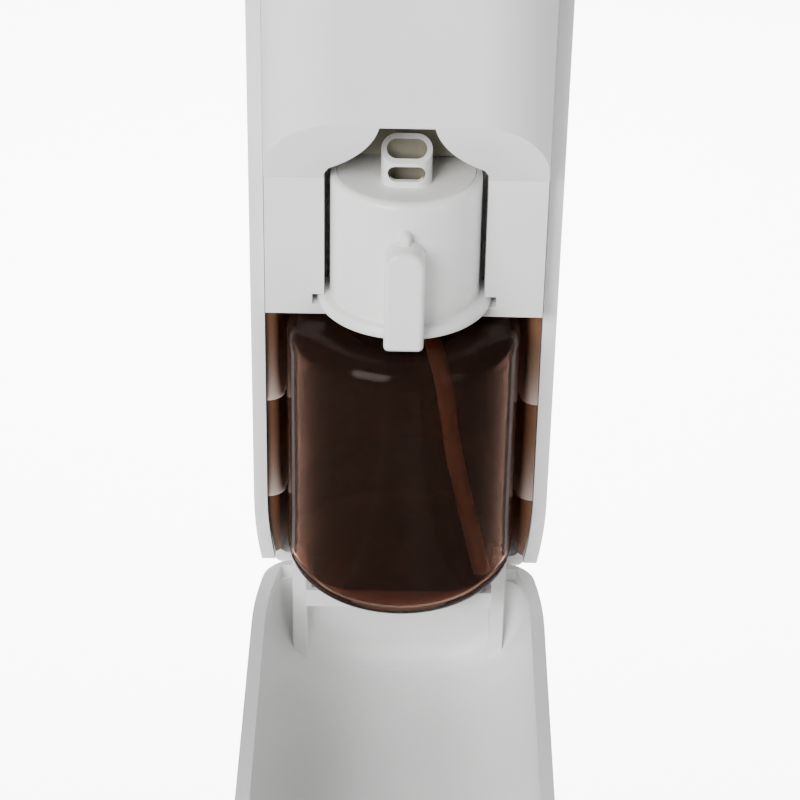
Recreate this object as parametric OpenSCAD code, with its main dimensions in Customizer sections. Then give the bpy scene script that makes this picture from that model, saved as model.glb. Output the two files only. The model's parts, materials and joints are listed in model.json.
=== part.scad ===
// Wall-held scent diffuser: a shallow case with a drop-down front cover, and a refill
// bottle whose atomiser head slides into a bracket. The cover is drawn open, as it rests.
// Lengths are in millimetres. Y = 0 is the plane where cover and case meet, -Y is the front.

/* [Case] */
// Width of the case
case_w = 80.8; // [78:0.2:84]
// Height of the case
case_h = 236; // [230:1:246]
// Depth of the rear shell, from the wall to the cover's rim
rear_d = 40; // [39:0.5:42]
// Wall thickness of the shells
wall = 2.4; // [2:0.1:3]
// Width of the flat rim round each shell
rim_w = 3.7; // [3.2:0.1:4.2]

/* [Cover] */
// Depth of the front cover
cover_d = 35.5; // [35:0.5:38]
// Angle the cover is drawn at, 90 is open and 0 is closed
cover_angle = 90; // [0:5:90]
// Distance of the hinge axis behind the cover's rim
hinge_y = 4.3; // [4.1:0.1:4.5]
// Height of the hinge axis
hinge_z = 5.3; // [5.2:0.1:5.5]
// Radius of the hinge pins
pin_r = 1.5; // [1.2:0.1:1.6]

/* [Cartridge] */
// Radius of the bottle
bottle_r = 31; // [30:0.5:31.5]
// Height of the bottle's base
bottle_z = 10; // [9.5:0.5:12]
// Height of the bottle's shoulder
shoulder_z = 90.5; // [88:0.5:90.5]
// Radius of the atomiser head
head_r = 19.5; // [19:0.1:20]
// Height of the top of the atomiser head
head_top = 132; // [131.5:0.1:132.5]
// Radius of the carrying flange
flange_r = 22.8; // [22:0.1:23]
// Width of the pull grip
grip_w = 11; // [9:0.5:13]

/* [Bracket] */
// Half width of the upper housing and the bracket
chassis_x = 36.2; // [35:0.1:36.4]
// Distance of the upper housing's face in front of the rim plane
face_y = 25; // [24:0.5:26]
// Clearance between the head and its pocket
pocket_gap = 1.4; // [1:0.1:1.6]

/* [Controls] */
// Radius of the push button
button_r = 5; // [4:0.5:6]
// Travel of the push button
button_travel = 0.7; // [0.4:0.1:0.8]

/* [Hidden] */
$fn = 64;
over = 1;                        // how far a cutting shape runs past what it cuts
half_w = case_w / 2;
rear_corner = 14;                // plan radius of the rear corners
cover_corner = 27;               // plan radius of the cover's corners
rear_edge = 5;                   // radius of the top and bottom rear edges
cover_edge = 9;                  // radius of the top and bottom front edges
side_r = 112;                    // the sides draw in towards both ends on this arc
side_z = 29;                     // height where that arc starts
foot_r = 5;                      // radius where side and end meet
rim_h = 3;                       // depth of the flat rim
floor_y = hinge_y + hinge_z + 0.3;  // front edge of the case floor, the open cover's stop
relief_r = 7.3;                  // room round the hinge for the cover's rim corner
relief_z = 8.5;
arm_x0 = 26;                     // hinge arms
arm_x1 = 30;
arm_r = 4;
tongue_x = 25.5;                 // tray between the arms, and the plate behind it
tongue_y = -15;
tongue_back = 14;
plate_y0 = 12;
plate_y1 = 26;
knuckle_x = 20;                  // knuckles that hold the hinge pins
knuckle_r = 3.6;
tongue_z0 = 3.5;
tongue_z1 = 8.5;
tray_z = 6;
lip_w = 1.5;
liner_z0 = 9;                    // tapered liner behind the bottle
liner_pitch = 31.4;
liner_ledge = 60.6;
liner_r0 = 32.3;                 // inner radius at a ledge
liner_r1 = 33.6;                 // inner radius above it
liner_out = 35.7;
liner_scoop = 11;                // height over which the liner comes forward to a ledge
wing_x = 36.4;                   // axis of the round wings that join the liner to the case sides
wing_y = 5.6;
wing_gap = 0.5;                  // how far a wing stands behind the liner's face
web_x = 34.5;                    // web from a wing to the case side
bracket_z0 = 91.7;               // bracket that carries the head
bracket_z1 = 131.7;
bracket_y = -5;
chamfer_z = 156.6;
pocket_r = head_r + pocket_gap;
pocket_z = 133.8;                // height where the pocket's straight sides end
pocket_back = 4;                 // how far back the flared part is cut
flare_x = 34;                    // centre and radius of the flare on each side
flare_z = 160;
flare_r = 27.5;
flare_from = 189;                // angles of the flare's two ends
flare_to = 238.5;
face_corner = 19;                // plan radius of the upper housing's front corners
slot_z0 = 94.6;
slot_z1 = 97.6;
slot_r = flange_r + 1.2;
lip_r = 20.5;
shelf_z = 161;                   // pump shelf above the pocket
chassis_in = half_w - chassis_x; // how far the housing stands inside the case outline
chassis_top = case_h - chassis_in;
chassis_back = 30;
skin = 2;
far = 60;                        // past every face of the upper housing
shelf_x = 35;
shelf_back = 24;
rib_t = 2;
board_x = 26;                    // half width of the board and of the room for it
post_x = 28;                     // case screws
post_zs = [112, 214];
post_r = 3.2;
post_end = 34;
boss_r = 4.5;                    // boss in the rear shell that meets each post
screw_r = 1.5;
screw_tip = 20;
screw_seat = 36.2;
screw_head_r = 2.9;
screw_head_t = 2;
air_z = 118;                     // height of the air coupling
air_r = 2.65;                    // spigot of the air coupling
air_seal_r = 4.6;
air_seal_y = 21.3;
air_bore = 0.8;
barb_r = 1.35;                   // barbs that the hose is pushed onto
key_x = 20;                      // wall keyholes
key_z = 200;
key_drop = 9;                    // from the wide part up to the narrow end
key_head_r = 4.2;
key_shank_r = 2.2;
vent_n = 5;                      // vents in the back
vent_pitch = 5;
vent_w = 1.6;
vent_z0 = 150;
vent_z1 = 166;
socket_x = 28.5;                 // power inlet in the floor
socket_y = 30.2;
socket_r = 3.1;
socket_w = 8;
socket_top = 13.4;
socket_bore = 2.75;
contact_r = 0.65;
board_z = 219;                   // control board under the top wall
board_t = 1.6;
board_y0 = 2;
board_y1 = 33;
board_posts = [[22, 8], [22, 28], [-22, 8], [-22, 28]];
board_top = board_z + board_t;
stud_r = 2.6;                    // studs that hold the board, and their screws
stud_screw_r = 1.1;
stud_screw_end = 7.5;
stud_head_r = 2.2;
button_y = 18;
button_flange = 1.3;             // thickness of the button's flange under the top wall
switch_w = 6;
switch_h = 3.5;
plunger_r = 1.75;
plunger_top = board_top + switch_h + 0.9;
ring_r = 6.8;
pump_y = 4;                      // pump and motor axis
pump_z = 188;
motor_r = 12;
motor_x = -28;                   // motor from here to the pump head
motor_boss_r = 3.2;
motor_boss_t = 2;
shaft_r = 1;
pump_x0 = 2;                     // pump head
pump_x1 = 24;
pump_w = 24;
crank_r = 5;
crank_throw = 1.2;
nipple_x = 13;                   // outlet and inlet nipples of the pump
outlet_nipple_z = 182;
inlet_nipple_z = 194;
collar_xs = [-24, -8];
collar_w = 5;
collar_t = 2.4;
magnet_x = 12;
magnet_z = 222;
magnet_r = 3;
magnet_t = 2.5;
magnet_gap = 0.5;                // between a closed pair of magnets
outlet_z = 142;                  // mist outlet in the cover
outlet_w = 24;
outlet_h = 13;
bezel_w = 2;
neck_r = 13.4;
neck_bore = 11.8;
seal_bore = 8;
thread_r = 14.7;
neck_top = 106;
flange_z = 94.8;                 // underside of the carrying flange
deck_z = 109;                    // inner deck of the head, over the neck seal
lid_z = 130;
lid_r = 17.8;
lid_seat_r = 16.8;
nozzle_y = -6;
nozzle_w = 12.9;
nozzle_d = 8;
nozzle_t = 1.8;
nozzle_top = 145;
jet_r = 3.4;
jet_top = 126;
stem_r = 2.3;                    // stem of the jet, down through the deck
seal_top = 107;
jet_bore = 0.9;
port_r = 2.6;                    // air port across the head
port_y = 1.8;
port_bore = 1.1;
hose_r = 2.5;
hose_bore = 1.5;
hose_route = [[0, 25.2, air_z], [0, 28, air_z], [0, 30.4, air_z + 0.4], [0, 33.8, 122.5], [0.3, 34.4, 130],
  [3, 33.5, 148], [9, 30.5, 166], [12.6, 27.4, 178], [13, 23.6, 181.7], [nipple_x, 20, outlet_nipple_z],
  [nipple_x, 16.2, outlet_nipple_z]];
lead_route = [[socket_x, socket_y, 13.6], [socket_x, socket_y, 16.5], [31, 31, 22], [33.2, 31.8, 38],
  [33.2, 31.8, 120], [33.2, 31.8, 190], [29, 31.8, 203], [19, 31.4, 210], [14.5, 31, 215], [14.5, 31, 218.6]];
lead_r = 1;
lead_core = 0.5;
tube_r = 2.3;
tube_bore = 1.5;
dip_route = [[0, 0, 104.2], [0, 0, 102.2], [1, -1, 97.5], [3.3, -3.3, 91], [7.2, -7.2, 83], [14.5, -10.6, 50],
  [22.5, -12.4, 15]];

// ---- outlines and prisms ----

function arc(cx, cy, r, a0, a1, n) =
  [for (i = [0 : n]) let (a = a0 + (a1 - a0) * i / n) [cx + r * cos(a), cy + r * sin(a)]];
function flip_x(points) = [for (i = [len(points) - 1 : -1 : 0]) [-points[i][0], points[i][1]]];
function flip_z(points) = [for (i = [len(points) - 1 : -1 : 0]) [points[i][0], case_h - points[i][1]]];

// One lower corner of the front view: the long side arc, then the foot radius.
function end_corner(side_in, end_in) =
  let (r = side_r - side_in, cx = half_w - side_in - r, f = max(0.8, foot_r - side_in),
       fz = end_in + f, fx = cx + sqrt(pow(r - f, 2) - pow(side_z - fz, 2)),
       a = atan2(fz - side_z, fx - cx))
  concat(arc(cx, side_z, r, 0, a, 6), arc(fx, fz, f, a, -90, 4));

function front_outline(side_in, end_in) =
  let (low = end_corner(side_in, end_in), right = concat(flip_z(low), low))
  concat(right, flip_x(right));

function plan_outline(side_in, d, r, y0) =
  let (w = half_w - side_in)
  concat([[w, y0]], arc(w - r, d - r, r, 0, 90, 10), arc(r - w, d - r, r, 90, 180, 10), [[-w, y0]]);

function side_outline(end_in, d, r, y0) =
  concat([[y0, end_in]], arc(d - r, end_in + r, r, -90, 0, 6),
         arc(d - r, case_h - end_in - r, r, 0, 90, 6), [[y0, case_h - end_in]]);

function stadium(w, h, n) =
  concat(arc((w - h) / 2, 0, h / 2, -90, 90, n), arc((h - w) / 2, 0, h / 2, 90, 270, n));

module prism_x(points, x0, x1)
  translate([x0, 0, 0]) rotate([90, 0, 90]) linear_extrude(x1 - x0) polygon(points);
module prism_y(points, y0, y1)
  translate([0, y1, 0]) rotate([90, 0, 0]) linear_extrude(y1 - y0) polygon(points);
module prism_z(points, z0, z1)
  translate([0, 0, z0]) linear_extrude(z1 - z0) polygon(points);
module box(low, high) translate(low) cube(high - low);
module rod_x(x0, x1, y, z, r) translate([x0, y, z]) rotate([0, 90, 0]) cylinder(h = x1 - x0, r = r);
module rod_y(x, z, y0, y1, r) translate([x, y1, z]) rotate([90, 0, 0]) cylinder(h = y1 - y0, r = r);
module rod_z(x, y, z0, z1, r) translate([x, y, z0]) cylinder(h = z1 - z0, r = r);
module both_sides() for (s = [0, 1]) mirror([s, 0, 0]) children();

// A rounded case half lying behind y0: side_in, end_in and d set how far it stands in.
module half_case(side_in, end_in, d, corner, edge, y0)
  intersection() {
    prism_z(plan_outline(side_in, d, corner, y0), end_in - over, case_h - end_in + over);
    prism_y(front_outline(side_in, end_in), y0 - over, d + over);
    prism_x(side_outline(end_in, d, edge, y0), -half_w, half_w);
  }

// ---- tubes swept along a smooth curve through their route points ----

function unit(v) = v / norm(v);
function spline_point(a, b, c, d, t) =
  0.5 * (2 * b + (c - a) * t + (2 * a - 5 * b + 4 * c - d) * t * t + (3 * b - a - 3 * c + d) * t * t * t);
function smooth(p, n) =
  let (last = len(p) - 1)
  concat([for (i = [0 : last - 1], j = [0 : n - 1])
    spline_point(p[max(0, i - 1)], p[i], p[i + 1], p[min(last, i + 2)], j / n)], [p[last]]);
function tangent(p, i) = unit(p[min(len(p) - 1, i + 1)] - p[max(0, i - 1)]);
function ring(p, i, r, sides, side_axis) =
  let (t = tangent(p, i), u = unit(cross(t, side_axis)), v = cross(t, u))
  [for (k = [0 : sides - 1]) p[i] + r * (cos(360 * k / sides) * u + sin(360 * k / sides) * v)];

module tube(route, r_out, r_in, sides, side_axis, steps) {
  path = smooth(route, steps);
  n = len(path);
  outer = [for (i = [0 : n - 1]) each ring(path, i, r_out, sides, side_axis)];
  inner = [for (i = [0 : n - 1]) each ring(path, i, r_in, sides, side_axis)];
  start = n * sides;
  skin_faces = [for (i = [0 : n - 2], k = [0 : sides - 1]) let (a = i * sides + k,
    b = i * sides + (k + 1) % sides) [a, b, b + sides, a + sides]];
  bore_faces = [for (f = skin_faces) [for (k = [3 : -1 : 0]) f[k] + start]];
  ends = [for (k = [0 : sides - 1]) let (m = (k + 1) % sides, e = (n - 1) * sides)
    each [[k, start + k, start + m, m], [e + k, e + m, start + e + m, start + e + k]]];
  polyhedron(points = concat(outer, inner), faces = concat(skin_faces, bore_faces, ends));
}

// ---- case ----

module floor_relief() {
  box([-half_w - over, -over, -over], [half_w + over, floor_y, tongue_z0]);
  both_sides() intersection() {
    rod_x(arm_x1 + 0.3, half_w + over, hinge_y, hinge_z, relief_r);
    box([arm_x1, -relief_r, -over], [half_w + 2 * over, hinge_y + relief_r + over, relief_z]);
  }
}

module keyhole(x)
  translate([x, 0, key_z]) {
    rod_y(0, 0, rear_d - wall - over, rear_d + over, key_head_r);
    rod_y(0, key_drop, rear_d - wall - over, rear_d + over, key_shank_r);
    box([-key_shank_r, rear_d - wall - over, 0], [key_shank_r, rear_d + over, key_drop]);
  }

module rear_shell() color("whitesmoke")
  difference() {
    union() {
      difference() {
        half_case(0, 0, rear_d, rear_corner, rear_edge, 0);
        half_case(wall, wall + 0.1, rear_d - wall, rear_corner - wall, rear_edge - wall, rim_h);
        half_case(rim_w, wall + 0.1, rim_h + over, 1, 0.5, -over);
      }
      for (z = post_zs) both_sides()
        rod_y(post_x, z, post_end + 0.2, rear_d - wall + 0.4, boss_r);
      for (p = board_posts) rod_z(p[0], p[1], board_top, case_h - wall, stud_r);
    }
    floor_relief();
    for (z = post_zs) both_sides() {
      rod_y(post_x, z, post_end - over, rear_d + over, screw_r + 0.2);
      rod_y(post_x, z, screw_seat, rear_d + over, screw_head_r + 0.2);
    }
    for (p = board_posts) rod_z(p[0], p[1], board_z, board_z + stud_screw_end + 0.5, stud_screw_r + 0.05);
    for (x = [-key_x, key_x]) keyhole(x);
    for (i = [0 : vent_n - 1]) let (x = (i - (vent_n - 1) / 2) * vent_pitch)
      box([x - vent_w / 2, rear_d - wall - over, vent_z0], [x + vent_w / 2, rear_d + over, vent_z1]);
    rod_z(0, button_y, case_h - wall - over, case_h + over, ring_r);
    rod_z(socket_x, socket_y, -over, wall + over, socket_r);
  }

// The liner's face from the bottom up: upright, then scooped forward to each ledge. Reach is
// how far the face stands forward, from 0 above a ledge to 1 at its lip.
liner_tops = [liner_ledge - liner_pitch, liner_ledge, bracket_z0 - 0.2];
function liner_face() =
  let (depth = liner_r1 - liner_r0)
  concat([[0, liner_z0]], [for (k = [0 : 1]) each concat([[0, liner_tops[k]]],
    [for (a = [0 : 15 : 90]) [depth * (1 - sin(a)), liner_tops[k] + liner_scoop * (1 - cos(a))]])],
    [[0, liner_tops[2]]]);

module rear_liner() color("tan")
  intersection() {
    union() {
      difference() {
        rotate_extrude(angle = 180) polygon(concat([[liner_out, liner_z0]],
          [for (p = liner_face()) [liner_r1 - p[0], p[1]]], [[liner_out, liner_tops[2]]]));
        box([-liner_out - over, -over, 0], [liner_out + over, wing_y, case_h]);
      }
      both_sides() translate([wing_x, wing_y, 0]) rotate([0, 0, 180]) rotate_extrude(angle = 90)
        polygon(concat([[0, liner_z0]], [for (p = liner_face()) [wing_x - liner_r1 + wing_gap + p[0], p[1]]],
          [[0, liner_tops[2]]]));
      both_sides() box([web_x, wing_y - 0.1, liner_z0], [wing_x, wing_y + 2, liner_tops[2]]);
    }
    prism_y(front_outline(rim_w + 0.15, wall), -over, rear_d);
  }

module base_tray() color("gainsboro")
  difference() {
    union() {
      box([-tongue_x, tongue_y, tongue_z0], [tongue_x, tongue_back, tongue_z1]);
      box([-arm_x1, plate_y0, wall + 0.1], [arm_x1, plate_y1, tray_z]);
      both_sides() rod_x(knuckle_x, tongue_x, hinge_y, hinge_z, knuckle_r);
    }
    box([lip_w - tongue_x, tongue_y + lip_w, tray_z],
      [tongue_x - lip_w, tongue_back + over, tongue_z1 + over]);
    both_sides() rod_x(knuckle_x - 0.5, tongue_x + over, hinge_y, hinge_z, pin_r);
  }

module hinge_pins() color("silver")
  both_sides() rod_x(knuckle_x - 0.5, arm_x1 + 0.2, hinge_y, hinge_z, pin_r);

// ---- upper housing with the bracket ----

// The pocket seen from the front: straight sides, then a flare closing to a narrow top.
function pocket_outline(gap, low) =
  let (half = concat(arc(flare_x, flare_z, flare_r - gap, flare_from - 2 * gap, flare_to, 8),
         [[pocket_r + gap, pocket_z], [pocket_r + gap, low]]))
  concat(half, flip_x(half));

module chassis_block(inset)
  intersection() {
    mirror([0, 1, 0]) prism_z(plan_outline(chassis_in + inset, face_y - inset, face_corner - inset,
      -chassis_back - (inset > 0 ? over : 0)), 0, case_h);
    prism_y(front_outline(chassis_in + inset, chassis_in + inset), -far, far);
    prism_x([[inset - face_y, chassis_top], [inset - face_y, chamfer_z], [bracket_y + inset, bracket_z1],
      [bracket_y + inset, bracket_z0 + inset], [far, bracket_z0 + inset], [far, chassis_top]], -far, far);
  }

module front_chassis() color("gainsboro")
  difference() {
    union() {
      difference() {
        chassis_block(0);
        chassis_block(skin);
      }
      intersection() {
        chassis_block(0);
        union() {
          prism_y(pocket_outline(skin, bracket_z0), -face_y, pocket_back + skin);
          rod_z(0, 0, bracket_z0, pocket_z + skin + 0.2, pocket_r + skin + 0.4);
          box([-slot_r - skin, bracket_y, bracket_z0], [slot_r + skin, 12, slot_z1 + skin]);
          rod_z(0, 0, bracket_z0, slot_z1 + skin, slot_r + skin);
          box([-shelf_x, -face_y, shelf_z - skin], [shelf_x, shelf_back, shelf_z]);
          for (z = post_zs) both_sides() {
            rod_y(post_x, z, -face_y, post_end, post_r);
            box([post_x, -face_y, z - rib_t / 2], [shelf_x, chassis_back - over, z + rib_t / 2]);
          }
          both_sides() rod_y(magnet_x, magnet_z, -face_y, 2 * magnet_t - face_y, magnet_r + 1.4);
        }
      }
      for (z = post_zs) both_sides() rod_y(post_x, z, screw_tip, post_end, post_r);
    }
    intersection() {
      prism_y(pocket_outline(0, bracket_z0 - over), -face_y - over, pocket_back);
      box([-far, -far, slot_z0], [far, far, case_h]);
    }
    rod_z(0, 0, slot_z1 - 0.1, pocket_z + 0.2, pocket_r);
    rod_z(0, 0, slot_z0, slot_z1, slot_r);
    box([-slot_r, bracket_y - over, slot_z0], [slot_r, 0, slot_z1]);
    rod_z(0, 0, bracket_z0 - over, slot_z0 + over, lip_r);
    box([-lip_r, bracket_y - over, bracket_z0 - over], [lip_r, 0, slot_z0 + over]);
    box([-board_x, pocket_back, chassis_top - skin - over],
      [board_x, chassis_back + over, chassis_top + over]);
    rod_y(0, air_z, 10, chassis_back, air_r + 0.05);
    rod_y(0, air_z, 10, air_seal_y, air_seal_r + 0.1);
    for (z = post_zs) both_sides() rod_y(post_x, z, screw_tip - over, post_end + over, screw_r + 0.05);
    both_sides() rod_y(magnet_x, magnet_z, -face_y - over, magnet_t - face_y, magnet_r);
  }

module case_screws() color("silver")
  for (z = post_zs) both_sides() {
    rod_y(post_x, z, screw_tip, screw_seat + 0.1, screw_r);
    difference() {
      rod_y(post_x, z, screw_seat, screw_seat + screw_head_t, screw_head_r);
      rod_y(post_x, z, screw_seat + screw_head_t / 2, screw_seat + screw_head_t + over, 1.2);
    }
  }

module body_magnets() color("dimgray")
  both_sides() rod_y(magnet_x, magnet_z, -face_y, magnet_t - face_y, magnet_r);

// ---- electrics ----

module dc_socket() color("black") {
  difference() {
    box([socket_x - socket_w / 2, socket_y - socket_w / 2, wall + 0.1],
      [socket_x + socket_w / 2, socket_y + socket_w / 2, socket_top]);
    rod_z(socket_x, socket_y, wall - over, socket_top - 2, socket_bore);
  }
  rod_z(socket_x, socket_y, wall + 1, socket_top - 1.5, contact_r);
}

module power_lead() color("black") tube(lead_route, lead_r, lead_core, 8, [0, 1, 0], 5);

module control_board() color("darkgreen")
  difference() {
    box([-board_x, board_y0, board_z], [board_x, board_y1, board_top]);
    for (p = board_posts) rod_z(p[0], p[1], board_z - over, board_top + over, stud_screw_r + 0.1);
  }

// A block on the board: its corner, then its width, depth and height.
module chip(x, y, w, d, h) box([x, y, board_top], [x + w, y + d, board_top + h]);

module board_parts() color("dimgray") {
  chip(-17, 8, 8, 8, 1.4);
  chip(-16, 20, 5, 4, 1.2);
  chip(8, 22, 8, 8, 5);
  chip(-8, 26, 12, 5, 4.5);
  for (i = [0 : 4]) chip(3 * i - 15, 5, 1.6, 0.8, 0.6);
  rod_z(12, 10, board_top, board_top + 8, 3);
}

module board_screws() color("silver")
  for (p = board_posts) {
    rod_z(p[0], p[1], board_z - 0.1, board_z + stud_screw_end, stud_screw_r);
    difference() {
      rod_z(p[0], p[1], board_z - 1.5, board_z, stud_head_r);
      rod_z(p[0], p[1], board_z - 2, board_z - 0.8, 0.8);
    }
  }

module tact_switch() color("dimgray") {
  chip(-switch_w / 2, button_y - switch_w / 2, switch_w, switch_w, switch_h);
  rod_z(0, button_y, board_top + switch_h - 0.1, plunger_top, plunger_r);
}

module light_ring() color("lightblue")
  difference() {
    rod_z(0, button_y, case_h - wall, case_h + 0.3, ring_r);
    rod_z(0, button_y, case_h - wall - over, case_h + over, button_r + 0.08);
  }

module mode_button() color("white") {
  under = case_h - wall - 0.1;
  translate([0, button_y, 0]) rotate_extrude()
    polygon(concat([[0, under - button_flange], [button_r + 1.2, under - button_flange],
      [button_r + 1.2, under], [button_r, under]],
      arc(button_r - 0.8, case_h + 0.2, 0.8, 0, 90, 4), [[0, case_h + 0.7]]));
  rod_z(0, button_y, plunger_top + button_travel + 0.2, under - button_flange + 0.1, plunger_r - 0.05);
}

// ---- air pump ----

module pump_motor() color("silver")
  difference() {
    union() {
      rod_x(motor_x, pump_x0, pump_y, pump_z, motor_r);
      rod_x(motor_x - motor_boss_t, motor_x, pump_y, pump_z, motor_boss_r);
    }
    rod_x(motor_x - 1, pump_x0 + over, pump_y, pump_z, shaft_r + 0.05);
  }

module motor_shaft() color("gray") rod_x(motor_x - 0.8, pump_x0 + 10, pump_y, pump_z, shaft_r);

module pump_eccentric() color("white")
  difference() {
    rod_x(pump_x0 + 4, pump_x0 + 9, pump_y + crank_throw, pump_z, crank_r);
    rod_x(pump_x0 + 3, pump_x0 + 10, pump_y, pump_z, shaft_r);
  }

module pump_head() color("dimgray") {
  chamber = 9;
  difference() {
    box([pump_x0, pump_y - pump_w / 2, pump_z - pump_w / 2],
      [pump_x1, pump_y + pump_w / 2, pump_z + pump_w / 2]);
    rod_x(pump_x0 + 2, pump_x0 + 12, pump_y, pump_z, chamber);
    rod_x(pump_x0 - over, pump_x0 + 2 + over, pump_y, pump_z, shaft_r + 0.1);
    box([pump_x0 + 14, pump_y - chamber, pump_z - chamber],
      [pump_x0 + 19, pump_y + chamber, pump_z + chamber]);
    rod_y(nipple_x, outlet_nipple_z, pump_y + 8, pump_y + pump_w / 2 + over, air_bore);
  }
  difference() {
    union() {
      rod_y(nipple_x, outlet_nipple_z, pump_y + pump_w / 2, 19.4, barb_r);
      rod_y(nipple_x, inlet_nipple_z, pump_y + pump_w / 2, 19, barb_r + 0.25);
    }
    rod_y(nipple_x, outlet_nipple_z, pump_y + 8, 22, air_bore);
    rod_y(nipple_x, inlet_nipple_z, pump_y + 11, 20, air_bore + 0.2);
  }
}

module motor_collars() color("darkslategray")
  for (x = collar_xs)
    difference() {
      union() {
        rod_x(x, x + collar_w, pump_y, pump_z, motor_r + collar_t);
        box([x, pump_y - 10, shelf_z], [x + collar_w, pump_y + 10, pump_z]);
      }
      rod_x(x - over, x + collar_w + over, pump_y, pump_z, motor_r);
    }

module air_hose() color("lightgray") tube(hose_route, hose_r, hose_bore, 12, [1, 0, 0], 4);

module air_coupling() color("dimgray")
  difference() {
    union() {
      rod_y(0, air_z, air_seal_y, 25, air_r);
      rod_y(0, air_z, pocket_r + skin + 0.4, 25, air_seal_r + 0.4);
      rod_y(0, air_z, 24.9, 28, barb_r);
    }
    rod_y(0, air_z, 20, 31, air_bore);
  }

module coupling_seal() color("darkslategray")
  difference() {
    rod_y(0, air_z, head_r + 0.3, air_seal_y, air_seal_r);
    rod_y(0, air_z, 19, 22, 2);
  }

// ---- cover, drawn closed and then turned about its hinge ----

module opened()
  translate([0, hinge_y, hinge_z]) rotate([cover_angle, 0, 0]) translate([0, -hinge_y, -hinge_z]) children();

module outlet_slot(w, h, y0, y1) translate([0, 0, outlet_z]) prism_y(stadium(w, h, 10), y0, y1);

module front_cover() color("whitesmoke") opened()
  difference() {
    union() {
      difference() {
        mirror([0, 1, 0]) half_case(0, 0, cover_d, cover_corner, cover_edge, 0.15);
        mirror([0, 1, 0]) half_case(wall, wall + 0.1, cover_d - wall - 0.1, cover_corner - wall,
          cover_edge - wall, rim_h);
        mirror([0, 1, 0]) half_case(rim_w, wall + 0.1, rim_h + over, 1, 0.5, -over);
      }
      both_sides() difference() {
        union() {
          rod_x(arm_x0, arm_x1, hinge_y, hinge_z, arm_r);
          prism_x([[hinge_y, hinge_z + arm_r], [-18, 8.2], [2.5 - cover_d, 8.2], [4 - cover_d, 4],
            [9 - cover_d, 1.5], [hinge_y, hinge_z - arm_r]], arm_x0, arm_x1);
        }
        rod_x(arm_x0 - over, arm_x1 + over, hinge_y, hinge_z, pin_r + 0.05);
      }
      both_sides() rod_y(magnet_x, magnet_z, over - cover_d, -face_y - magnet_gap, magnet_r + 1.2);
    }
    both_sides() rod_y(magnet_x, magnet_z, -face_y - magnet_gap - magnet_t, -face_y, magnet_r);
    outlet_slot(outlet_w, outlet_h, -cover_d - over, -cover_d + 2 * wall);
  }

module outlet_bezel() color("silver") opened()
  difference() {
    outlet_slot(outlet_w, outlet_h, -cover_d, -cover_d + wall + 0.6);
    outlet_slot(outlet_w - 2 * bezel_w, outlet_h - 2 * bezel_w, -cover_d - over, -cover_d + 2 * wall);
  }

module cover_magnets() color("dimgray") opened()
  both_sides() rod_y(magnet_x, magnet_z, -face_y - magnet_gap - magnet_t, -face_y - magnet_gap, magnet_r);

// ---- refill cartridge: atomiser head and bottle ----

module grip() {
  nose_r = 6.2;
  nose_y = -26 + nose_r;
  a = acos(grip_w / 2 / nose_r);
  intersection() {
    union() {
      prism_z(concat([[grip_w / 2, -17.6]], arc(0, nose_y, nose_r, -a, a - 180, 10), [[-grip_w / 2, -17.6]]),
        93, 122);
      box([-1.4, -21, 120], [1.4, -18, 126]);
    }
    prism_x([[-17, 93], [-24.6, 93], [-27, 95.4], [-27, 119.5], [-23.5, 122], [-21, 122],
      [-19.4, 126], [-17, 126]], -grip_w, grip_w);
  }
}

module head_cap() color("white") {
  bore_r = thread_r + 0.05;
  difference() {
    union() {
      rotate_extrude() polygon(concat([[bore_r, flange_z], [flange_r, flange_z],
        [flange_r, flange_z + 1.7], [flange_r - 0.9, flange_z + 2.6], [head_r, flange_z + 2.6]],
        arc(head_r - 2, head_top - 2, 2, 0, 80, 6),
        [[lid_r, head_top], [lid_r, lid_z], [lid_seat_r, lid_z], [lid_seat_r, deck_z],
        [stem_r + 0.1, deck_z], [stem_r + 0.1, seal_top], [bore_r, seal_top]]));
      difference() {
        grip();
        rod_z(0, 0, 90, lid_z, head_r - 1);
      }
    }
    rod_y(0, air_z, 10, 21, port_r + 0.05);
  }
}

module head_lid() color("white")
  difference() {
    union() {
      rod_z(0, 0, lid_z + 0.1, head_top, lid_r - 0.1);
      translate([0, nozzle_y, 0]) prism_z(stadium(nozzle_w, nozzle_d, 10), head_top - 0.5, nozzle_top);
    }
    translate([0, nozzle_y, 0]) {
      prism_z(stadium(nozzle_w - 2 * nozzle_t, nozzle_d - 2 * nozzle_t, 10), lid_z - over, nozzle_top + over);
      prism_x([[-nozzle_d, 138.6], [nozzle_d, 147.8], [nozzle_d, 150], [-nozzle_d, 150]], -20, 20);
      box([-4.65, -nozzle_d, 133.8], [4.65, 0, 137]);
    }
  }

module venturi_jet() color("gainsboro")
  difference() {
    union() {
      rod_z(0, 0, 104.5, deck_z + 0.1, stem_r);
      rod_z(0, 0, deck_z, deck_z + 1.5, 5);
      rod_z(0, 0, deck_z + 1.4, jet_top, jet_r);
    }
    rod_z(0, 0, 103, jet_top + over, jet_bore);
    rod_y(0, air_z, port_y, 10, port_r);
  }

module inlet_port() color("gainsboro")
  difference() {
    rod_y(0, air_z, port_y, head_r - 0.1, port_r);
    rod_y(0, air_z, port_y - over, head_r + over, port_bore);
  }

module neck_seal() color("dimgray")
  difference() {
    rod_z(0, 0, neck_top, seal_top, neck_r);
    rod_z(0, 0, neck_top - over, seal_top + over, seal_bore);
  }

module dip_tube() color("sienna") tube(dip_route, tube_r, tube_bore, 12, [0.56, 0.83, 0], 4);

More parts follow.
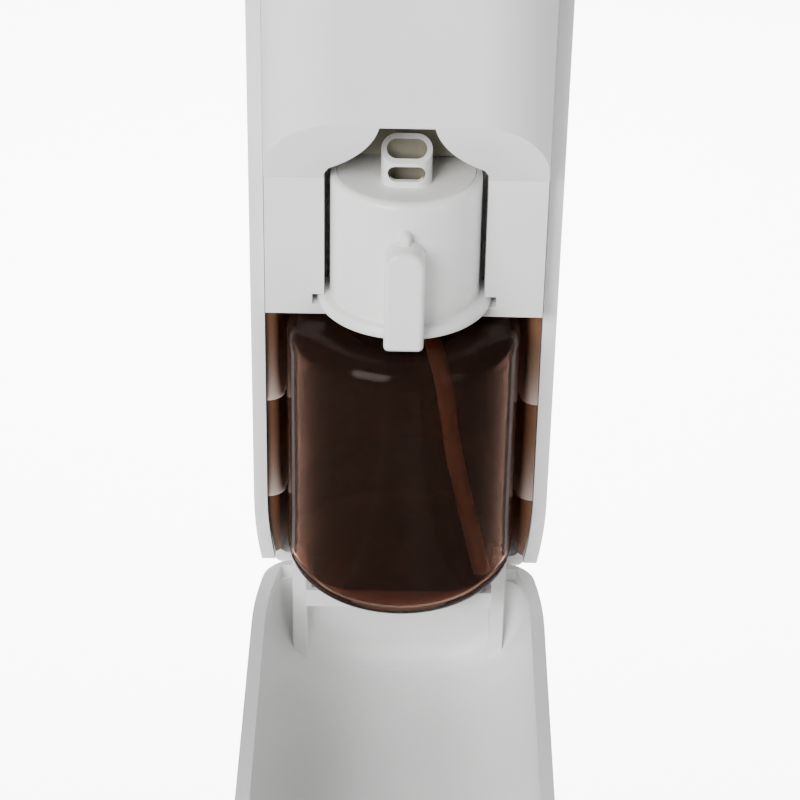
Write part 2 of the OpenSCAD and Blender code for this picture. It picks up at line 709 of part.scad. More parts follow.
module bottle() color("saddlebrown") {
  glass = 1.2;
  base_r = 7;
  top_r = 6.5;
  in_r = bottle_r - glass;
  outer = concat([[0, bottle_z + 1.6], [17, bottle_z + 1.2], [20, bottle_z]],
    arc(bottle_r - base_r, bottle_z + base_r, base_r, -90, 0, 6),
    arc(bottle_r - top_r, shoulder_z - top_r, top_r, 0, 90, 6), [[neck_r, shoulder_z + 0.6]]);
  threads = [for (z = [91.4, 95.6, 99.8, 103]) each [[neck_r, z], [thread_r, z + 0.5], [thread_r, z + 1.1],
    [neck_r, z + 1.6]]];
  inner = concat([[neck_bore, neck_top], [neck_bore, shoulder_z - glass]],
    arc(bottle_r - top_r, shoulder_z - top_r, top_r - glass, 90, 0, 6),
    arc(bottle_r - base_r, bottle_z + base_r + glass, base_r - glass, 0, -90, 6),
    [[17, bottle_z + 3], [0, bottle_z + 3.4]]);
  rotate_extrude($fn = 96) polygon(concat(outer, threads, [[neck_r, neck_top]], inner));
}

// The origin is the middle of the back face, where the case meets the wall.
module place() translate([0, -rear_d, -case_h / 2]) children();

place() rear_shell();
place() rear_liner();
place() base_tray();
place() front_chassis();
place() hinge_pins();
place() case_screws();
place() dc_socket();
place() power_lead();
place() control_board();
place() board_parts();
place() board_screws();
place() tact_switch();
place() light_ring();
place() pump_head();
place() pump_motor();
place() motor_collars();
place() air_hose();
place() air_coupling();
place() coupling_seal();
place() body_magnets();
place() motor_shaft();
place() pump_eccentric();
place() mode_button();
place() front_cover();
place() outlet_bezel();
place() cover_magnets();
place() head_cap();
place() head_lid();
place() venturi_jet();
place() inlet_port();
place() neck_seal();
place() dip_tube();
place() bottle();
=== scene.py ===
"""Wall-held scent diffuser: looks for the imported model, laid out as an add-on and run as a script."""
import json
import math

import bpy
from mathutils import Matrix, Vector


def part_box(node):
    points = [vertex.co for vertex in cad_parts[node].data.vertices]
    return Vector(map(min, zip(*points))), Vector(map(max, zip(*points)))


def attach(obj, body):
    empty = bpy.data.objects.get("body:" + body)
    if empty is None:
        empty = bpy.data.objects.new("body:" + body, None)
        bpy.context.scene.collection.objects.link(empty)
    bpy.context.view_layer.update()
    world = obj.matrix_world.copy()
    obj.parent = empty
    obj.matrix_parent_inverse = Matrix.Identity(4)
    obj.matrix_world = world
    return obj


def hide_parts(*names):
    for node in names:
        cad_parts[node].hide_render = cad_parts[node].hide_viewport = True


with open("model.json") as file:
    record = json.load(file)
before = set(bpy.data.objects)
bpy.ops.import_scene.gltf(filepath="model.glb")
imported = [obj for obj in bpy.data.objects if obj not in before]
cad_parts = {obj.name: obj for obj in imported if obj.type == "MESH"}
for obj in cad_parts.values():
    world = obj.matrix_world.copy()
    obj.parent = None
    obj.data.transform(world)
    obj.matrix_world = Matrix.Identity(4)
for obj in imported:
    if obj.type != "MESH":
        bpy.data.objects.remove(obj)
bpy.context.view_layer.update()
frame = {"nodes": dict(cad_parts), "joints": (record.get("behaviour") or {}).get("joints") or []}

bl_info = {
    "name": "Scent diffuser",
    "version": (1, 0, 0),
    "blender": (4, 5, 0),
    "location": "3D View > Sidebar > Diffuser",
    "description": "Builds the visible pieces of a wall-held scent diffuser round its frame",
    "category": "Object",
}

# ---- places, from the frame ----
# Pieces are modelled in millimetres in the case frame: x = 0 on the bottle's axis, y = 0 on the
# plane where cover and case meet (+y to the wall), z = 0 on the case's floor. settle() then
# brings each finished piece to metres and to its place.

MM = 0.001
SHELL_LOW, SHELL_HIGH = (Vector(c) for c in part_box("rear_shell"))
ORIGIN = Vector((0, SHELL_LOW.y, SHELL_LOW.z))


def case_box(node):
    """A node's lowest and highest corners in the case frame, in millimetres."""
    return tuple((Vector(corner) - ORIGIN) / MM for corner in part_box(node))


HALF_W = SHELL_HIGH.x / MM
CASE_H = (SHELL_HIGH.z - SHELL_LOW.z) / MM
REAR_D = (SHELL_HIGH.y - SHELL_LOW.y) / MM
HINGE = (Vector(next(j["pos_m"] for j in frame["joints"] if j["name"] == "cover_hinge")) - ORIGIN) / MM
COVER_D = HINGE.z - HINGE.y - case_box("front_cover")[0].z
HOUSING_LOW, HOUSING_HIGH = case_box("front_chassis")
LINER_LOW, LINER_HIGH = case_box("rear_liner")
TRAY_LOW, TRAY_HIGH = case_box("base_tray")
BOTTLE_LOW, BOTTLE_HIGH = case_box("bottle")
CAP_LOW, CAP_HIGH = case_box("head_cap")
SOCKET = sum(case_box("dc_socket"), Vector()) / 2
BOTTLE_R = BOTTLE_HIGH.x
FLANGE_R = CAP_HIGH.x

# ---- modelling helpers ----


def rest():
    """Object mode with nothing selected."""
    if bpy.context.object and bpy.context.object.mode != "OBJECT":
        bpy.ops.object.mode_set(mode="OBJECT")
    bpy.ops.object.select_all(action="DESELECT")


def only(obj):
    """Selects one object and makes it active."""
    rest()
    obj.select_set(True)
    bpy.context.view_layer.objects.active = obj


def edit(obj, kind, test):
    """Edit mode with the vertices, edges or faces that pass a test of their corner points selected."""
    only(obj)
    bpy.ops.object.mode_set(mode="EDIT")
    bpy.ops.mesh.select_mode(type=kind)
    bpy.ops.mesh.select_all(action="DESELECT")
    bpy.ops.object.mode_set(mode="OBJECT")
    mesh = obj.data
    for item in {"VERT": mesh.vertices, "EDGE": mesh.edges, "FACE": mesh.polygons}[kind]:
        corners = [item.index] if kind == "VERT" else item.vertices
        item.select = test([mesh.vertices[i].co for i in corners])
    bpy.ops.object.mode_set(mode="EDIT")


def edit_all(obj):
    """Edit mode with everything selected."""
    only(obj)
    bpy.ops.object.mode_set(mode="EDIT")
    bpy.ops.mesh.select_mode(type="VERT")
    bpy.ops.mesh.select_all(action="SELECT")


def tidy_mesh(obj):
    """Merges doubles and turns the faces outwards."""
    edit_all(obj)
    bpy.ops.mesh.remove_doubles(threshold=0.001)
    bpy.ops.mesh.normals_make_consistent(inside=False)
    rest()
    return obj


def apply_place(obj):
    """Writes an object's place, turn and scale into its mesh."""
    only(obj)
    bpy.ops.object.transform_apply(location=True, rotation=True, scale=True)
    return obj


def block(name, low, high):
    """A box between two corners."""
    rest()
    low, high = Vector(low), Vector(high)
    bpy.ops.mesh.primitive_cube_add(size=1, location=(low + high) / 2)
    obj = bpy.context.object
    obj.name = name
    obj.scale = high - low
    return apply_place(obj)


def chain(name, points):
    """An open line of edges through points, extruded from one vertex."""
    rest()
    points = [Vector(p) for p in points]
    bpy.ops.mesh.primitive_plane_add(size=1, location=points[0])
    obj = bpy.context.object
    obj.name = name
    edit_all(apply_place(obj))
    bpy.ops.mesh.merge(type="CENTER")
    for before, after in zip(points, points[1:]):
        bpy.ops.mesh.extrude_region_move(TRANSFORM_OT_translate={"value": after - before})
    return obj


def lift(axis, u, v, w):
    """A point whose place along axis is w and whose other two places, in order, are u and v."""
    return {"X": (w, u, v), "Y": (u, w, v), "Z": (u, v, w)}[axis]


def prism(name, outline, axis, start, end):
    """A closed outline extruded along an axis."""
    obj = chain(name, [lift(axis, u, v, start) for u, v in outline])
    bpy.ops.mesh.select_all(action="SELECT")
    bpy.ops.mesh.edge_face_add()
    bpy.ops.mesh.extrude_region_move(TRANSFORM_OT_translate={"value": lift(axis, 0, 0, end - start)})
    return tidy_mesh(obj)


def lathe(name, outline, steps=96, angle=360, closed=False):
    """An outline of (radius, height) spun about the bottle's axis."""
    points = [(r, 0, z) for r, z in outline]
    obj = chain(name, points + points[:1] if closed else points)
    bpy.ops.mesh.select_all(action="SELECT")
    bpy.ops.mesh.spin(steps=steps, angle=math.radians(angle), center=(0, 0, 0), axis=(0, 0, 1))
    return tidy_mesh(obj)


def rod(name, axis, start, end, u, v, radius, sides=64):
    """A cylinder along an axis."""
    rest()
    turn = {"X": (0, math.pi / 2, 0), "Y": (math.pi / 2, 0, 0), "Z": (0, 0, 0)}[axis]
    bpy.ops.mesh.primitive_cylinder_add(
        vertices=sides, radius=radius, depth=end - start,
        location=lift(axis, u, v, (start + end) / 2), rotation=turn)
    obj = bpy.context.object
    obj.name = name
    return apply_place(obj)


def arc(u, v, radius, start, end, steps):
    """Points along an arc, angles in degrees."""
    angles = [math.radians(start + (end - start) * i / steps) for i in range(steps + 1)]
    return [(u + radius * math.cos(a), v + radius * math.sin(a)) for a in angles]


def stadium(width, height, u=0, v=0, steps=16):
    """A slot outline with round ends."""
    run = (width - height) / 2
    return arc(u + run, v, height / 2, -90, 90, steps) + arc(u - run, v, height / 2, 90, 270, steps)


def carve(obj, *tools, operation="DIFFERENCE"):
    """Cuts tools from a piece, or joins them to it, and clears them away."""
    for tool in tools:
        only(obj)
        bpy.ops.object.modifier_add(type="BOOLEAN")
        cut = obj.modifiers[-1]
        cut.operation = operation
        cut.solver = "EXACT"
        cut.object = tool
        bpy.ops.object.modifier_apply(modifier=cut.name)
        bpy.data.objects.remove(tool)
    return obj


def both_sides(make):
    """Makes a piece on the right and its mirrored twin on the left."""
    pieces = [make(), make()]
    pieces[1].scale = (-1, 1, 1)
    tidy_mesh(apply_place(pieces[1]))
    return pieces


def join(pieces, name):
    """Joins separate solids into one object."""
    rest()
    for piece in pieces:
        piece.select_set(True)
    bpy.context.view_layer.objects.active = pieces[0]
    bpy.ops.object.join()
    pieces[0].name = name
    return pieces[0]


def soften(obj, width, segments=3, angle=35):
    """Rounds the edges and evens out the shading."""
    only(obj)
    if width:
        bpy.ops.object.modifier_add(type="BEVEL")
        edge = obj.modifiers[-1]
        edge.width = width
        edge.segments = segments
        edge.limit_method = "ANGLE"
        edge.angle_limit = math.radians(angle)
        edge.miter_outer = "MITER_ARC"
        edge.use_clamp_overlap = True
        bpy.ops.object.modifier_apply(modifier=edge.name)
    bpy.ops.object.shade_smooth_by_angle(angle=math.radians(angle))
    bpy.ops.object.modifier_add(type="WEIGHTED_NORMAL")
    even = obj.modifiers[-1]
    even.keep_sharp = True
    even.weight = 60
    bpy.ops.object.modifier_apply(modifier=even.name)
    rest()
    return obj


def open_out(obj):
    """Turns a piece of the closed cover about the hinge into its open rest place."""
    turn = Matrix.Rotation(math.radians(90), 4, "X")
    obj.matrix_world = Matrix.Translation(HINGE) @ turn @ Matrix.Translation(-HINGE)
    return apply_place(obj)


def paint_cavity_shade(obj, material, test):
    """Gives the faces whose middle passes a test a second material, painted shade, before the piece is
    settled.
    """
    obj.data.materials.clear()
    obj.data.materials.append(None)
    obj.data.materials.append(material)
    edit(obj, "FACE", lambda c: test(sum(c, Vector()) / len(c)))
    obj.active_material_index = 1
    bpy.ops.object.material_slot_assign()
    rest()


def settle(obj, name, body, material, replaces=()):
    """Brings a finished piece to metres and to its place, hangs it on its body and hides the parts it
    replaces.
    """
    obj.scale = (MM, MM, MM)
    obj.location = ORIGIN
    apply_place(obj)
    obj.name = obj.data.name = name.replace(" ", "_")
    if len(obj.data.materials) > 1:
        obj.data.materials[0] = material
    else:
        obj.data.materials.clear()
        obj.data.materials.append(material)
    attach(obj, body)
    if replaces:
        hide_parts(*replaces)
    rest()
    return obj


# ---- materials ----

AMBER_IOR = 1.12
AMBER_CLEAR = 0.97
# How fast the liner's painted shade under each ledge gives way to painted light.
LEDGE_SHADE_POWER = 3.2


def base_material(name, colour, roughness):
    """A material with its shader's base colour and roughness set."""
    material = bpy.data.materials.new(name)
    material.use_nodes = True
    nodes = material.node_tree.nodes
    shader = nodes["Principled BSDF"]
    shader.inputs["Base Color"].default_value = (*colour, 1)
    shader.inputs["Roughness"].default_value = roughness
    return material, nodes, material.node_tree.links, shader


def noise(nodes, links, scale, detail=2.0):
    """A noise on object coordinates, scale in features per metre."""
    coords = nodes.new("ShaderNodeTexCoord")
    texture = nodes.new("ShaderNodeTexNoise")
    texture.inputs["Scale"].default_value = scale
    texture.inputs["Detail"].default_value = detail
    links.new(coords.outputs["Object"], texture.inputs["Vector"])
    return texture


def spread(nodes, links, value, low, high):
    """A noise value brought to a range."""
    ranger = nodes.new("ShaderNodeMapRange")
    ranger.inputs["From Min"].default_value = 0.3
    ranger.inputs["From Max"].default_value = 0.7
    ranger.inputs["To Min"].default_value = low
    ranger.inputs["To Max"].default_value = high
    links.new(value, ranger.inputs["Value"])
    return ranger.outputs["Result"]


def tint(nodes, links, factor, dark, light):
    """A colour between two, by factor."""
    mix = nodes.new("ShaderNodeMix")
    mix.data_type = "RGBA"
    mix.inputs["A"].default_value = (*dark, 1)
    mix.inputs["B"].default_value = (*light, 1)
    links.new(factor, mix.inputs["Factor"])
    return mix.outputs["Result"]


def grain(nodes, links, shader, scale, strength, depth):
    """A fine moulded or ground grain as bump."""
    texture = noise(nodes, links, scale, 3.0)
    bump = nodes.new("ShaderNodeBump")
    bump.inputs["Strength"].default_value = strength
    bump.inputs["Distance"].default_value = depth
    links.new(texture.outputs["Fac"], bump.inputs["Height"])
    links.new(bump.outputs["Normal"], shader.inputs["Normal"])


def moulded(name, colour, roughness=0.42, grain_scale=2600, grain_strength=0.18, variation=0.03):
    """Moulded plastic: a faint unevenness of tone and gloss under a fine texture."""
    material, nodes, links, shader = base_material(name, colour, roughness)
    slow = noise(nodes, links, 22, 3.0)
    light = tuple(min(1, c * (1 + variation)) for c in colour)
    dark = tuple(c * (1 - variation) for c in colour)
    tone = tint(nodes, links, spread(nodes, links, slow.outputs["Fac"], 0, 1), dark, light)
    links.new(tone, shader.inputs["Base Color"])
    gloss = noise(nodes, links, 90, 2.0)
    rough = spread(nodes, links, gloss.outputs["Fac"], roughness - 0.04, roughness + 0.05)
    links.new(rough, shader.inputs["Roughness"])
    grain(nodes, links, shader, grain_scale, grain_strength, 0.00004)
    return material


def metal(name, colour, roughness, grain_scale=3000, grain_strength=0.2):
    """Turned or plated metal."""
    material, nodes, links, shader = base_material(name, colour, roughness)
    shader.inputs["Metallic"].default_value = 1
    gloss = noise(nodes, links, 300, 3.0)
    rough = spread(nodes, links, gloss.outputs["Fac"], roughness - 0.06, roughness + 0.08)
    links.new(rough, shader.inputs["Roughness"])
    grain(nodes, links, shader, grain_scale, grain_strength, 0.00003)
    return material


def amber_glass(name, colour):
    """Dark amber bottle wall, clear and only weakly reflecting."""
    material, nodes, links, shader = base_material(name, colour, 0.04)
    shader.inputs["Transmission Weight"].default_value = AMBER_CLEAR
    shader.inputs["IOR"].default_value = AMBER_IOR
    slow = noise(nodes, links, 30, 2.0)
    dark = tuple(c * 0.94 for c in colour)
    tone = tint(nodes, links, spread(nodes, links, slow.outputs["Fac"], 0, 1), dark, colour)
    links.new(tone, shader.inputs["Base Color"])
    rough = spread(nodes, links, noise(nodes, links, 60).outputs["Fac"], 0.03, 0.07)
    links.new(rough, shader.inputs["Roughness"])
    return material


def sum_node(nodes, links, operation, *values):
    """A maths node on sockets or plain numbers."""
    node = nodes.new("ShaderNodeMath")
    node.operation = operation
    for place, value in zip(node.inputs, values):
        if isinstance(value, (int, float)):
            place.default_value = value
        else:
            links.new(value, place)
    return node.outputs["Value"]


def painted_liner_light(name, dark, light):
    """Liner plastic in painted light: brown that stands in for light through the amber bottle, painted shade
    under each ledge and paler painted light towards the next one down.
    """
    material, nodes, links, shader = base_material(name, light, 0.45)
    coords = nodes.new("ShaderNodeTexCoord")
    split = nodes.new("ShaderNodeSeparateXYZ")
    links.new(coords.outputs["Object"], split.inputs["Vector"])
    # Painted shade just under each ledge, fading to painted light towards the next ledge down.
    below = sum_node(nodes, links, "SUBTRACT", ORIGIN.z + LEDGE * MM, split.outputs["Z"])
    tiers = sum_node(nodes, links, "DIVIDE", below, LINER_PITCH * MM)
    share = sum_node(nodes, links, "FRACT", tiers)
    paler = sum_node(nodes, links, "POWER", share, LEDGE_SHADE_POWER)
    links.new(tint(nodes, links, paler, dark, light), shader.inputs["Base Color"])
    rough = spread(nodes, links, noise(nodes, links, 90).outputs["Fac"], 0.4, 0.5)
    links.new(rough, shader.inputs["Roughness"])
    grain(nodes, links, shader, 2600, 0.15, 0.00004)
    return material


def finish(kind):
    """The object's finishes and its painted light and shade, each made once."""
    if kind in bpy.data.materials:
        return bpy.data.materials[kind]
    look = bpy.context.scene.diffuser_colours
    makers = {
        "Body white": lambda n: moulded(n, look.shell_white),
        "Housing white": lambda n: moulded(n, look.shell_white, 0.40),
        "Head white": lambda n: moulded(n, look.head_white, 0.30, grain_strength=0.06, variation=0.015),
        # Painted shade: the same white plastic, darkened where it lies in the shadow of the pocket and the
        # nozzle.
        "Shaded white": lambda n: moulded(n, look.painted_cavity_shade, 0.5),
        # Liner in painted light: brown for light through the amber bottle, with painted shade under each
        # ledge.
        "Liner brown": lambda n: painted_liner_light(n, look.liner_painted_shade, look.liner_painted_light),
        "Amber glass": lambda n: amber_glass(n, look.amber),
        "Tube brown": lambda n: moulded(n, look.tube_brown, 0.28, grain_strength=0.05),
        "Turned steel": lambda n: metal(n, (0.60, 0.60, 0.61), 0.32),
        "Nickel": lambda n: metal(n, (0.62, 0.61, 0.60), 0.2),
        "Rubber": lambda n: moulded(n, (0.03, 0.03, 0.03), 0.75, 1800, 0.3, 0.1),
        "Black plastic": lambda n: moulded(n, (0.035, 0.035, 0.038), 0.5),
        "Solder mask": lambda n: moulded(n, (0.02, 0.13, 0.05), 0.35, 900, 0.1, 0.12),
        "Frosted ring": lambda n: moulded(n, (0.62, 0.72, 0.78), 0.35),
        "Silicone": lambda n: moulded(n, (0.68, 0.68, 0.64), 0.5, 1500, 0.1),
        "Satin silver": lambda n: metal(n, (0.58, 0.59, 0.60), 0.34),
    }
    return makers[kind](kind)


# ---- sizes that belong to the drawn pieces, in millimetres ----

# Shells: side arc and the height where it starts, walls, flat rim, corner and edge radii.
SIDE_ARC = 112
SIDE_START = 29
WALL = 2.4
END_WALL = 2.5
RIM_W = 3.7
RIM_DEPTH = 3
REAR_CORNER, REAR_EDGE, REAR_INNER_EDGE = 14, 5, 4
COVER_CORNER, COVER_EDGE, COVER_INNER_EDGE = 27, 7, 6.5
PAST = 1  # how far a cutting shape runs past what it cuts

# Hinge: pins, arms on the cover, room for them in the rear shell.
PIN_R = 1.5
ARM_R, ARM_X0, ARM_X1 = 4, 26, 30
RELIEF_R, RELIEF_TOP, FLOOR_CUT_TOP = 7.3, 8.5, 3.5

# Rear shell: keyholes, vents, screw posts and wells.
KEY_X, KEY_Z, KEY_DROP, KEY_HEAD_R, KEY_SHANK_R = 20, 200, 9, 4.2, 2.2
VENTS, VENT_PITCH, VENT_W, VENT_Z0, VENT_Z1 = 5, 5, 1.6, 150, 166
POST_X, POST_ZS, POST_R, POST_END, BOSS_R = 28, (112, 214), 3.2, 34, 4.5
SCREW_WAY_R, SCREW_WELL_R, SCREW_SEAT, PILOT_R = 1.7, 3.1, 36.2, 1.55
POWER_HOLE_R = 3.1

# Cover: mist outlet with its ring, magnets that meet those in the housing.
OUTLET_Z, OUTLET_W, OUTLET_H, BEZEL_W = 142, 24, 13, 2
MAGNET_X, MAGNET_Z, MAGNET_R = 12, 222, 3

# Upper housing: bracket, chamfer, pocket with its flare, flange slot, shelf.
HOUSING_CORNER, HOUSING_EDGE, HOUSING_IN, SKIN = 19, 4, 4, 2
BRACKET_Y, BRACKET_TOP, CHAMFER_Z = -5, 131.7, 156.6
POCKET_R, POCKET_Z, POCKET_BACK = 20.9, 133.8, 4
FLARE_X, FLARE_Z, FLARE_R, FLARE_FROM, FLARE_TO = 34, 160, 27.5, 189, 238.5
SLOT_Z0, SLOT_Z1, SLOT_R, LIP_R = 94.6, 97.6, 24, 20.5
SHELF_Z, SHELF_BACK = 161, 24
CUT_Z = 85  # where the cuts into the upper housing start, clear below its underside
AIR_Z = 118

# Liner: ledges, scoops, face radii and the round wings at its ends.
LEDGE = 60.6
LINER_PITCH = 31.4
LINER_OUT, LINER_IN, SCOOP_REACH, SCOOP_H = 35.7, 33.6, 1.3, 11
WING_X, WING_Y, WING_GAP, WEB_X = 36.6, 5.6, 0.5, 34.5

# Base tray.
TONGUE_X, TONGUE_BACK, TRAY_LIP, TRAY_FLOOR = 25.5, 14, 1.5, 6
KNUCKLE_X, KNUCKLE_R = 20, 3.6

# Bottle and atomiser head.
GLASS, BASE_R, SHOULDER_R, SHOULDER_Z = 1.2, 7, 6.5, 90.5
NECK_R, NECK_BORE, THREAD_R, THREAD_ZS = 13.4, 11.8, 14.7, (91.4, 95.6, 99.8)
HEAD_R, HEAD_TOP, LID_R, LID_Z, DECK_Z = 19.5, 132, 17.8, 130, 109
GRIP_NOSE, GRIP_LOW, GRIP_TOP = -26.8, 93.4, 122
NOZZLE_Y, NOZZLE_W, NOZZLE_D, MOUTH_D = -6, 12.9, 8, 5.2
WINDOW_W, WINDOW_H, WINDOW_Z = 9.5, 4.2, 135.7
TUBE_R = 2.3

# Button and its ring on the top wall.
BUTTON_Y, BUTTON_R, RING_R = 18, 5, 6.8


def sizes():
    """The sizes that a user may change, in metres."""
    return bpy.context.scene.diffuser_sizes


def drawn_in(z, inset=0):
    """How far the sides have drawn in at a height."""
    reach = max(0, SIDE_START - z, z - (CASE_H - SIDE_START))
    radius = SIDE_ARC - inset
    return radius - math.sqrt(radius * radius - reach * reach)


def draw_sides_in(obj, half_width, inset=0):
    """Narrows a box towards its ends along the side arc."""
    steps = [SIDE_START * k / 7 for k in range(2, 8)]
    for z in steps + [CASE_H - s for s in steps]:
        edit_all(obj)
        bpy.ops.mesh.bisect(plane_co=(0, 0, z), plane_no=(0, 0, 1))
    rest()
    heights = sorted({round(v.co.z, 3) for v in obj.data.vertices})
    for z in heights:
        share = 1 - drawn_in(z, inset) / half_width
        if share < 0.9999:
            edit(obj, "VERT", lambda c, z=z: abs(c[0].z - z) < 0.002)
            bpy.ops.transform.resize(value=(share, 1, 1), center_override=(0, 0, 0))
    rest()


def rounded_block(name, half_width, front, back, bottom, top, corner, edge, inset=0):
    """A box with round upright rear edges and round ends, drawn in to the sides."""
    obj = block(name, (-half_width, front, bottom), (half_width, back, top))
    if corner:
        edit(obj, "EDGE", lambda c: on_plane(c, back) and abs(c[0].z - c[1].z) > 1)
        bpy.ops.mesh.bevel(offset=corner, segments=20, affect="EDGES")
        for end in (bottom, top):
            edit(obj, "EDGE", lambda c, end=end: at_height(c, end) and not on_plane(c, front))
            bpy.ops.mesh.bevel(offset=edge, segments=8, affect="EDGES")
    draw_sides_in(obj, half_width, inset)
    return obj


def on_plane(c, y):
    """Whether all corners lie on an upright plane at y."""
    return all(abs(p.y - y) < 0.01 for p in c)


def at_height(c, z):
    """Whether all corners lie at a height."""
    return all(abs(p.z - z) < 0.01 for p in c)


def shell(name, depth, corner, edge, inner_edge):
    """A hollow case half with a flat rim, its rim on y = 0 and its back at y = depth."""
    ends = (END_WALL, CASE_H - END_WALL)
    hollow = (HALF_W - WALL, RIM_DEPTH, depth - WALL, *ends, corner - WALL, inner_edge, WALL)
    return carve(
        rounded_block(name, HALF_W, 0, depth, 0, CASE_H, corner, edge),
        rounded_block("hollow", *hollow),
        rounded_block("rim way", HALF_W - RIM_W, -PAST, RIM_DEPTH + PAST, *ends, 0, 0, RIM_W))


def mirror_front(obj):
    """Turns a shell drawn towards +y to face the front."""
    obj.scale = (1, -1, 1)
    return tidy_mesh(apply_place(obj))


# ---- pieces ----


def hinge_notch():
    """Room in the rear shell for one lower corner of the cover."""
    return carve(rod("notch", "X", ARM_X1 + 0.3, HALF_W + 2, HINGE.y, HINGE.z, RELIEF_R),
                 block("notch top", (25, -9, RELIEF_TOP), (HALF_W + 5, 20, 20)))


def make_rear_shell():
    """Rear shell with keyholes, vents, screw wells, power hole and hinge notches."""
    obj = shell("Rear shell", REAR_D, REAR_CORNER, REAR_EDGE, REAR_INNER_EDGE)
    inner, outer = REAR_D - WALL - PAST, REAR_D + PAST
    floor_edge = HINGE.y + HINGE.z + 0.3
    carve(obj, block("floor cut", (-HALF_W - PAST, -PAST, -PAST), (HALF_W + PAST, floor_edge, FLOOR_CUT_TOP)))
    carve(obj, *both_sides(hinge_notch))
    for x in (-KEY_X, KEY_X):
        carve(obj, rod("key head", "Y", inner, outer, x, KEY_Z, KEY_HEAD_R),
              block("key slot", (x - KEY_SHANK_R, inner, KEY_Z), (x + KEY_SHANK_R, outer, KEY_Z + KEY_DROP)),
              rod("key shank", "Y", inner, outer, x, KEY_Z + KEY_DROP, KEY_SHANK_R))
    for i in range(VENTS):
        x = (i - (VENTS - 1) / 2) * VENT_PITCH
        carve(obj, block("vent", (x - VENT_W / 2, inner, VENT_Z0), (x + VENT_W / 2, outer, VENT_Z1)))
    carve(obj, rod("button hole", "Z", CASE_H - 4, CASE_H + PAST, 0, BUTTON_Y, RING_R),
          rod("power hole", "Z", -PAST, 4, SOCKET.x, SOCKET.y, POWER_HOLE_R))
    for z in POST_ZS:
        def boss(start, end, radius, z=z):
            return both_sides(lambda: rod("boss", "Y", start, end, POST_X, z, radius))

        carve(obj, *boss(POST_END + 0.2, REAR_D - WALL + 0.4, BOSS_R), operation="UNION")
        carve(obj, *boss(SCREW_SEAT, outer, SCREW_WELL_R), *boss(POST_END - PAST, REAR_D, SCREW_WAY_R))
    soften(obj, sizes().edge_round / MM)
    settle(obj, "Rear shell", "case", finish("Body white"), ["rear_shell"])


def hinge_arm():
    """One arm from the hinge pin along the inside of the cover."""
    outline = arc(HINGE.y, HINGE.z, ARM_R, -90, 90, 14)
    outline += [(-18, 8.2), (-33.6, 8.2), (-32, 5), (-30, 3.2), (-26.5, 1.5), (-2, 1.3)]
    plate = prism("arm", outline, "X", ARM_X0, ARM_X1)
    return carve(plate, rod("pin hole", "X", ARM_X0 - PAST, ARM_X1 + PAST, HINGE.y, HINGE.z, PIN_R + 0.05))


def make_front_cover():
    """Front cover with its mist outlet and magnet posts, and the two hinge arms."""
    obj = mirror_front(shell("Front cover", COVER_D, COVER_CORNER, COVER_EDGE, COVER_INNER_EDGE))
    slot = stadium(OUTLET_W, OUTLET_H, 0, OUTLET_Z)
    way = stadium(OUTLET_W - 2 * BEZEL_W, OUTLET_H - 2 * BEZEL_W, 0, OUTLET_Z)
    carve(obj, prism("outlet", slot, "Y", -COVER_D - PAST, -COVER_D + 4))
    posts = both_sides(lambda: rod("post", "Y", -COVER_D + 1, -25.5, MAGNET_X, MAGNET_Z, MAGNET_R + 1.2))
    carve(obj, *posts, operation="UNION")
    carve(obj, *both_sides(lambda: rod("magnet well", "Y", -28, -24, MAGNET_X, MAGNET_Z, MAGNET_R)))
    soften(obj, sizes().edge_round / MM)
    open_out(obj)
    settle(obj, "Front cover", "cover", finish("Body white"), ["front_cover"])

    arms = join(both_sides(hinge_arm), "Hinge arms")
    soften(arms, 0.4)
    open_out(arms)
    settle(arms, "Hinge arms", "cover", finish("Body white"))

    bezel = prism("bezel", slot, "Y", -COVER_D, -COVER_D + WALL + 0.6)
    carve(bezel, prism("bezel way", way, "Y", -COVER_D - PAST, -COVER_D + 5))
    soften(bezel, 0.4)
    open_out(bezel)
    settle(bezel, "Mist outlet ring", "cover", finish("Satin silver"), ["outlet_bezel"])


def pocket_outline(gap, low):
    """The pocket seen from the front: straight sides, then a flare that closes to a narrow top."""
    half = arc(FLARE_X, FLARE_Z, FLARE_R - gap, FLARE_FROM - 2 * gap, FLARE_TO, 14)
    half += [(POCKET_R + gap, POCKET_Z), (POCKET_R + gap, low)]
    return half + [(-x, z) for x, z in half[::-1]]


def housing_block(name, inset, back):
    """The upper housing's outside, or its hollow when inset, with the chamfer cut."""
    width = HOUSING_HIGH.x - inset
    face = -HOUSING_LOW.y - inset
    top = HOUSING_HIGH.z - inset
    bottom = HOUSING_LOW.z + inset
    obj = block(name, (-width, -face, bottom), (width, back, top))
    edit(obj, "EDGE", lambda c: on_plane(c, -face) and abs(c[0].z - c[1].z) > 1)
    bpy.ops.mesh.bevel(offset=HOUSING_CORNER - inset, segments=24, affect="EDGES")
    edit(obj, "EDGE", lambda c: at_height(c, top) and not on_plane(c, back))
    bpy.ops.mesh.bevel(offset=HOUSING_EDGE, segments=6, affect="EDGES")
    for z in [CASE_H - SIDE_START + k * 5 for k in range(5)]:
        edit_all(obj)
        bpy.ops.mesh.bisect(plane_co=(0, 0, z), plane_no=(0, 0, 1))
    rest()
    for z in sorted({round(v.co.z, 3) for v in obj.data.vertices}):
        share = 1 - drawn_in(z, HOUSING_IN) / width
        if z > CHAMFER_Z and share < 0.9999:
            edit(obj, "VERT", lambda c, z=z: abs(c[0].z - z) < 0.002)
            bpy.ops.transform.resize(value=(share, 1, 1), center_override=(0, 0, 0))
    rest()
    slope = (CHAMFER_Z - BRACKET_TOP) / (BRACKET_Y - HOUSING_LOW.y)
    step_y, far_y, low = BRACKET_Y + inset, BRACKET_Y - 45, 60
    front = [(step_y, low), (step_y, BRACKET_TOP), (far_y, BRACKET_TOP + slope * 45), (far_y, low)]
    return carve(obj, prism("chamfer", front, "X", -50, 50))


